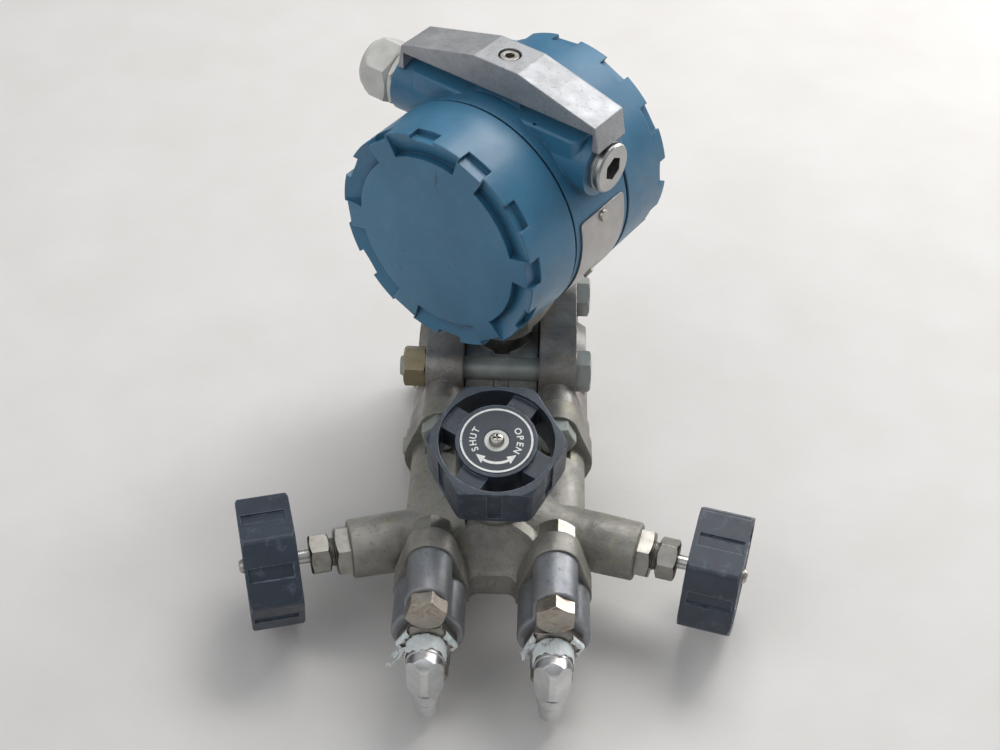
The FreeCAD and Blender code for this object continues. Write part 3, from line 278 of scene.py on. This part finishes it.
def tape_film():
    s = Shader("thread_tape")
    fold = s.noise(1.2 * MM, 5.0, 0.6, stretch=(1.0, 3.0, 1.0), distort=1.0)
    c = s.mix((0.83, 0.835, 0.835), (0.70, 0.715, 0.72), s.ramp(fold, 0.35, 0.7))
    s.bump(fold, 0.12 * MM)
    s.bsdf.inputs["Subsurface Weight"].default_value = 0.15
    s.bsdf.inputs["Subsurface Scale"].default_value = 0.001
    return s.finish(c, 0.38, 0.0)


def make_materials():
    return {
        "housing_paint": paint(),
        "flange_steel": casting("flange_steel", (0.36, 0.345, 0.33), (0.20, 0.190, 0.180),
                                (0.27, 0.22, 0.17), 0.70, 0.46, 0.9 * MM, 0.07 * MM),
        "manifold_steel": casting("manifold_steel", (0.375, 0.360, 0.330), (0.220, 0.212, 0.195),
                                  (0.35, 0.34, 0.24), 0.58, 0.52, 0.8 * MM, 0.07 * MM),
        "adapter_steel": casting("adapter_steel", (0.33, 0.345, 0.37), (0.235, 0.245, 0.265),
                                 (0.25, 0.235, 0.215), 0.70, 0.50, 0.5 * MM, 0.03 * MM),
        "bar_aluminium": casting("bar_aluminium", (0.44, 0.45, 0.47), (0.35, 0.36, 0.375),
                                 (0.33, 0.33, 0.33), 0.65, 0.52, 0.9 * MM, 0.05 * MM),
        "cell_steel": machined("cell_steel", (0.48, 0.47, 0.45), 0.34),
        "foil_steel": machined("foil_steel", (0.62, 0.62, 0.62), 0.25),
        "bolt_steel": machined("bolt_steel", (0.40, 0.43, 0.41), 0.50,
                               (0.30, 0.32, 0.25), 0.5, metal=0.5),
        "nut_steel": machined("nut_steel", (0.44, 0.37, 0.24), 0.42,
                              (0.30, 0.19, 0.12), 0.6, metal=0.65),
        "fitting_steel": machined("fitting_steel", (0.50, 0.49, 0.46), 0.33),
        "port_bolt_steel": machined("port_bolt_steel", (0.44, 0.40, 0.35), 0.36,
                                    (0.26, 0.17, 0.11), 0.7),
        "port_nut_steel": machined("port_nut_steel", (0.42, 0.41, 0.37), 0.42,
                                   (0.27, 0.25, 0.18), 0.6),
        "bushing_steel": machined("bushing_steel", (0.40, 0.375, 0.335), 0.38,
                                  (0.22, 0.18, 0.14), 0.6),
        "elbow_steel": machined("elbow_steel", (0.74, 0.745, 0.75), 0.32,
                                (0.55, 0.55, 0.54), 0.4, 0.004),
        "valve_steel": machined("valve_steel", (0.44, 0.425, 0.39), 0.40, (0.26, 0.23, 0.18), 0.6),
        "stem_steel": machined("stem_steel", (0.62, 0.61, 0.59), 0.22),
        "screw_steel": machined("screw_steel", (0.52, 0.50, 0.46), 0.34, (0.30, 0.22, 0.15), 0.5),
        "plug_steel": machined("plug_steel", (0.46, 0.465, 0.46), 0.34, (0.36, 0.34, 0.28), 0.4),
        "plate_steel": machined("plate_steel", (0.47, 0.46, 0.455), 0.40, (0.36, 0.34, 0.32), 0.4),
        "terminal_brass": machined("terminal_brass", (0.72, 0.55, 0.28), 0.3),
        "wheel_plastic": plastic("wheel_plastic", (0.037, 0.050, 0.072), 0.40, (0.24, 0.31, 0.40), 0.9),
        "wheel_label": plastic("wheel_label", (0.040, 0.052, 0.070), 0.44, (0.12, 0.15, 0.19), 0.4),
        "washer_white": plastic("washer_white", (0.70, 0.70, 0.67), 0.42, (0.45, 0.44, 0.41), 0.5),
        "adjust_plastic": plastic("adjust_plastic", (0.66, 0.64, 0.58), 0.45, (0.4, 0.38, 0.34), 0.4),
        "gland_plastic": plastic("gland_plastic", (0.66, 0.655, 0.62), 0.42, (0.50, 0.49, 0.45), 0.5),
        "packing_white": plastic("packing_white", (0.80, 0.80, 0.77), 0.4, (0.6, 0.6, 0.56), 0.3),
        "terminal_plastic": plastic("terminal_plastic", (0.035, 0.035, 0.037), 0.5,
                                    (0.15, 0.15, 0.15), 0.4),
        "board_green": plastic("board_green", (0.02, 0.13, 0.055), 0.35, (0.10, 0.25, 0.14), 0.3),
        "seal_rubber": plastic("seal_rubber", (0.022, 0.022, 0.023), 0.6, (0.10, 0.10, 0.10), 0.3),
    }


def dress_nodes(made):
    # every node of the part gets the material of its slot; the port nuts are greyer than their bolts
    slots = {p["node"]: p["material_slot"] for p in frame["record"]["subparts"]}
    slots["adapter_nuts"] = "port_nut_steel"
    for name, obj in NODES.items():
        material = made[slots[name]]
        if not obj.material_slots:
            obj.data.materials.append(material)
        for slot in obj.material_slots:
            slot.material = material


# ---- mesh helpers ---------------------------------------------------------
def new_piece(name, verts, faces, material, body, smooth=True):
    mesh = bpy.data.meshes.new(name)
    mesh.from_pydata([tuple(v) for v in verts], [], faces)
    mesh.validate()
    mesh.update()
    obj = bpy.data.objects.new(name, mesh)
    bpy.context.scene.collection.objects.link(obj)
    mesh.materials.append(material)
    if smooth:
        mesh.shade_smooth()
    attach(obj, body)
    return obj


# ---- handwheel prints -----------------------------------------------------
RING_R = (14.6 * MM, 15.5 * MM)          # printed ring
ARROW_R = 10.9 * MM                      # middle of the curved arrow
ARROW_HALF = 0.6 * MM                    # half its width
ARROW_HEAD = (4.2 * MM, 1.9 * MM)        # length and half width of its heads
ARROW_SPAN = (math.radians(-119), math.radians(-61))
LETTER_R = 9.9 * MM                      # middle of the letters
LETTER_SIZE = 4.0 * MM
LETTER_STEP = 0.32                       # angle between letters, radians
PRINT_LIFT = 0.03 * MM                   # print above the disc


def wheel_axes(which):
    # centre of the printed disc's face, and its right, up and outward directions
    joint = JOINTS[which + "_valve_turn"]
    out = Vector(joint["axis"]).normalized()
    through = Vector(joint["pos_m"])
    label = NODES["wheel_label_" + which].data.vertices
    reach = max((v.co - through).dot(out) for v in label)
    reference = Vector((1, 0, 0)) if abs(out.z) > 0.9 else Vector((0, 0, 1))
    right = (reference - out * reference.dot(out)).normalized()
    return through + out * reach, right, out.cross(right), out


def flat_ring(r0, r1, start, stop, steps):
    # a flat ring or part of one, as quads: points are (x, y)
    verts = []
    faces = []
    for i in range(steps + 1):
        t = start + (stop - start) * i / steps
        verts.append((r0 * math.cos(t), r0 * math.sin(t)))
        verts.append((r1 * math.cos(t), r1 * math.sin(t)))
    for i in range(steps):
        a = 2 * i
        faces.append((a, a + 1, a + 3, a + 2))
    return verts, faces


def letter_shape(letter, size):
    curve = bpy.data.curves.new("letter", "FONT")
    curve.body = letter
    curve.size = size
    curve.align_x = "CENTER"
    curve.align_y = "CENTER"
    curve.offset = size * 0.022
    obj = bpy.data.objects.new("letter", curve)
    bpy.context.scene.collection.objects.link(obj)
    graph = bpy.context.evaluated_depsgraph_get()
    mesh = bpy.data.meshes.new_from_object(obj.evaluated_get(graph))
    verts = [(v.co.x, v.co.y) for v in mesh.vertices]
    faces = [tuple(p.vertices) for p in mesh.polygons]
    bpy.data.objects.remove(obj)
    bpy.data.meshes.remove(mesh)
    bpy.data.curves.remove(curve)
    return verts, faces


def turned_shape(shape, x, y, angle):
    c = math.cos(angle)
    s = math.sin(angle)
    verts, faces = shape
    return [(x + c * u - s * v, y + s * u + c * v) for u, v in verts], faces


def arrow_head(radius, angle, way, length, half):
    # triangle on the circle, its point ahead in the turning direction
    tip = angle + way * length / radius
    points = [(radius - half, angle), (radius + half, angle), (radius, tip)]
    return [(r * math.cos(t), r * math.sin(t)) for r, t in points], [(0, 1, 2)]


def disc_print():
    # white ring, OPEN and SHUT along the circle, and a double arrow
    shapes = [flat_ring(*RING_R, 0.0, math.tau, 96)]
    for word, middle in (("OPEN", 0.0), ("SHUT", math.pi)):
        for i, letter in enumerate(word):
            angle = middle + (1.5 - i) * LETTER_STEP
            shape = letter_shape(letter, LETTER_SIZE)
            shapes.append(turned_shape(shape, LETTER_R * math.cos(angle), LETTER_R * math.sin(angle),
                                       angle - math.pi / 2))
    low, high = ARROW_SPAN
    shapes.append(flat_ring(ARROW_R - ARROW_HALF, ARROW_R + ARROW_HALF, low, high, 24))
    shapes.append(arrow_head(ARROW_R, high, 1, *ARROW_HEAD))
    shapes.append(arrow_head(ARROW_R, low, -1, *ARROW_HEAD))
    return shapes


def add_prints(ink):
    shapes = disc_print()
    for which in VALVES:
        centre, right, up, out = wheel_axes(which)
        verts = []
        faces = []
        for points, polygons in shapes:
            base = len(verts)
            verts += [centre + right * x + up * y + out * PRINT_LIFT for x, y in points]
            faces += [tuple(base + i for i in polygon) for polygon in polygons]
        new_piece("wheel_print_" + which, verts, faces, ink, "wheel_" + which, False)


# ---- thread tape on the elbows ---------------------------------------------
def sheet(name, rows, film, body):
    # a thin film through rows of points, a little thickness added by a modifier
    verts = [point for row in rows for point in row]
    width = len(rows[0])
    faces = []
    for i in range(len(rows) - 1):
        for j in range(width - 1):
            a = i * width + j
            faces.append((a, a + 1, a + width + 1, a + width))
    obj = new_piece(name, verts, faces, film, body)
    solid = obj.modifiers.new("thickness", "SOLIDIFY")
    solid.thickness = TAPE_THICK
    solid.offset = 0.0
    return obj


def tape_wrap(name, x, turn, film):
    # torn turns of tape over the top of an elbow's collar
    rows = []
    for i in range(61):
        angle = math.radians(-14.0 + 208.0 * i / 60.0)
        row = []
        for j in range(9):
            share = j / 8.0
            torn = 0.8 * math.sin(4.0 * angle + turn) + 0.4 * math.sin(13.0 * angle + 2.0 * turn)
            y = TAPE_BACK - (TAPE_LENGTH + torn) * share
            fold = 0.16 * math.sin(9.0 * angle + 14.0 * share + turn)
            fold += 0.10 * math.sin(23.0 * angle + 5.0 * share)
            radius = COLLAR_R + TAPE_STAND + fold
            row.append(Vector((x + radius * math.cos(angle), y, PORT_Z + radius * math.sin(angle))) * MM)
        rows.append(row)
    sheet(name, rows, film, "base")


def hex_reach(angle, corner_at):
    # centre to outline of a hexagon with a corner at the given angle, radians
    off = (angle - corner_at) % (math.pi / 3) - math.pi / 6
    return BUSH_CORNER * math.cos(math.pi / 6) / math.cos(off)


def tape_edge(name, x, corner_at, start, stop, film):
    # crumpled tape folded over the front edge of a bushing: angles in degrees
    rows = []
    for i in range(41):
        angle = math.radians(start + (stop - start) * i / 40.0)
        reach = hex_reach(angle, math.radians(corner_at))
        crumple = 0.22 * math.sin(17.0 * angle) + 0.14 * math.sin(41.0 * angle + 1.0)
        fold = ((0.25, 2.2), (0.35 + crumple, 1.0), (0.30 + crumple, -0.15), (-0.6, -0.45 - crumple),
                (-1.5 + 2.0 * crumple, -0.35))
        row = []
        for out, back in fold:
            radius = reach + out
            row.append(Vector((x + radius * math.cos(angle), TAPE_BACK + back,
                               PORT_Z + radius * math.sin(angle))) * MM)
        rows.append(row)
    sheet(name, rows, film, "base")


def tape_scrap(name, start, hang, across, turn, film):
    # a torn end that hangs from the joint: start, direction and width are in millimetres
    rows = []
    for i in range(19):
        share = i / 18.0
        middle = start + hang * share
        sway = Vector((1.1 * math.sin(5.0 * share + turn),
                       0.8 * math.sin(7.0 * share + 2.0 * turn), 0.0))
        middle += sway * share
        half = (0.75 + 0.3 * math.sin(11.0 * share + turn)) * (1.0 - 0.5 * share * share)
        row = []
        for j in range(7):
            side = (j / 3.0 - 1.0) * half
            crumple = Vector((0.5 * math.sin(6.0 * side + 9.0 * share),
                              0.7 * math.sin(8.0 * side + 5.0 * share + turn),
                              0.5 * math.sin(9.0 * side + 12.0 * share)))
            row.append((middle + across * side + crumple) * MM)
        rows.append(row)
    sheet(name, rows, film, "base")


def add_tape(film):
    tape_wrap("thread_tape_left", -PORT_X, 0.6, film)
    tape_wrap("thread_tape_right", PORT_X, 2.1, film)
    for side, name, turn in ((-1, "left", BUSH_TURN[0]), (1, "right", BUSH_TURN[1])):
        tape_edge("tape_fold_a_" + name, side * PORT_X, turn, -12.0, 46.0, film)
        tape_edge("tape_fold_b_" + name, side * PORT_X, turn, 132.0, 196.0, film)
    tape_scrap("tape_end_left", Vector((-37.6, TAPE_BACK - 1.2, 39.0)), Vector((-4.0, -1.8, -10.0)),
               Vector((4.4, 1.0, 2.2)), 0.4, film)
    tape_scrap("tape_end_right", Vector((18.4, TAPE_BACK - 0.9, 45.0)), Vector((-4.0, -0.6, -8.6)),
               Vector((3.4, 0.4, 1.0)), 1.9, film)
    tape_scrap("tape_end_top", Vector((25.4, TAPE_BACK - 1.2, 48.7)), Vector((-3.4, -2.6, 0.6)),
               Vector((1.4, 0.4, 0.9)), 3.1, film)


# ---- stage, light and camera ----------------------------------------------
def add_floor():
    bpy.ops.mesh.primitive_plane_add(size=FLOOR_SIZE, location=(0, 0, -FLOOR_DROP))
    floor = bpy.context.object
    floor.name = "floor"
    s = Shader("floor_paper")
    c = s.mix((0.66, 0.64, 0.62), (0.70, 0.685, 0.67), s.ramp(s.noise(60 * MM, 3.0), 0.3, 0.7))
    s.bump(s.noise(4 * MM, 4.0), 0.1 * MM)
    floor.data.materials.append(s.finish(c, 0.85, 0.0))


def add_light(name, place, size, power, colour=(1, 1, 1)):
    data = bpy.data.lights.new(name, "AREA")
    data.shape = "RECTANGLE"
    data.size = size[0]
    data.size_y = size[1]
    data.energy = power
    data.color = colour
    obj = bpy.data.objects.new(name, data)
    bpy.context.scene.collection.objects.link(obj)
    obj.location = place
    obj.rotation_euler = (Vector(AIM) - Vector(place)).to_track_quat("-Z", "Y").to_euler()


def add_world():
    world = bpy.data.worlds.new("studio")
    bpy.context.scene.world = world
    world.use_nodes = True
    nodes = world.node_tree.nodes
    links = world.node_tree.links
    coords = nodes.new("ShaderNodeTexCoord").outputs["Generated"]
    split = nodes.new("ShaderNodeSeparateXYZ")
    links.new(coords, split.inputs["Vector"])
    ramp = nodes.new("ShaderNodeValToRGB")
    ramp.color_ramp.elements[0].position = 0.0
    ramp.color_ramp.elements[0].color = (0.16, 0.155, 0.15, 1)
    ramp.color_ramp.elements[1].position = 1.0
    ramp.color_ramp.elements[1].color = (0.95, 0.97, 1.0, 1)
    middle = ramp.color_ramp.elements.new(0.5)
    middle.color = (0.30, 0.30, 0.30, 1)
    lift = nodes.new("ShaderNodeMapRange")
    lift.inputs["From Min"].default_value = -1.0
    links.new(split.outputs["Z"], lift.inputs["Value"])
    links.new(lift.outputs["Result"], ramp.inputs["Fac"])
    links.new(ramp.outputs["Color"], nodes["Background"].inputs["Color"])
    nodes["Background"].inputs["Strength"].default_value = 0.55


def add_camera():
    data = bpy.data.cameras.new("camera")
    obj = bpy.data.objects.new("camera", data)
    bpy.context.scene.collection.objects.link(obj)
    data.sensor_width = 36.0
    data.lens = CAMERA_LENS
    pitch, yaw, roll = (math.radians(angle) for angle in CAMERA_TURN)
    level = math.cos(pitch)
    forward = Vector((math.sin(yaw) * level, math.cos(yaw) * level, -math.sin(pitch)))
    right = forward.cross(Vector((0, 0, 1))).normalized()
    up = right.cross(forward)
    x = right * math.cos(roll) + up * math.sin(roll)
    y = up * math.cos(roll) - right * math.sin(roll)
    turn = Matrix((x, y, -forward)).transposed().to_4x4()
    obj.matrix_world = Matrix.Translation(CAMERA_PLACE) @ turn
    data.shift_x = CAMERA_SHIFT
    data.clip_start = 0.01
    bpy.context.scene.camera = obj


def main():
    made = make_materials()
    dress_nodes(made)
    add_prints(print_ink())
    add_tape(tape_film())
    add_floor()
    add_world()
    add_light("key", (0.36, 0.60, 1.30), (0.9, 0.7), 12.5, (1.0, 0.985, 0.96))
    add_light("fill", (-0.8, -0.7, 1.0), (1.2, 1.0), 4.4, (0.96, 0.98, 1.0))
    add_light("rim", (0.95, 0.80, 0.50), (0.5, 0.5), 7.0)
    add_camera()
    bpy.context.scene.view_settings.view_transform = "Standard"


main()
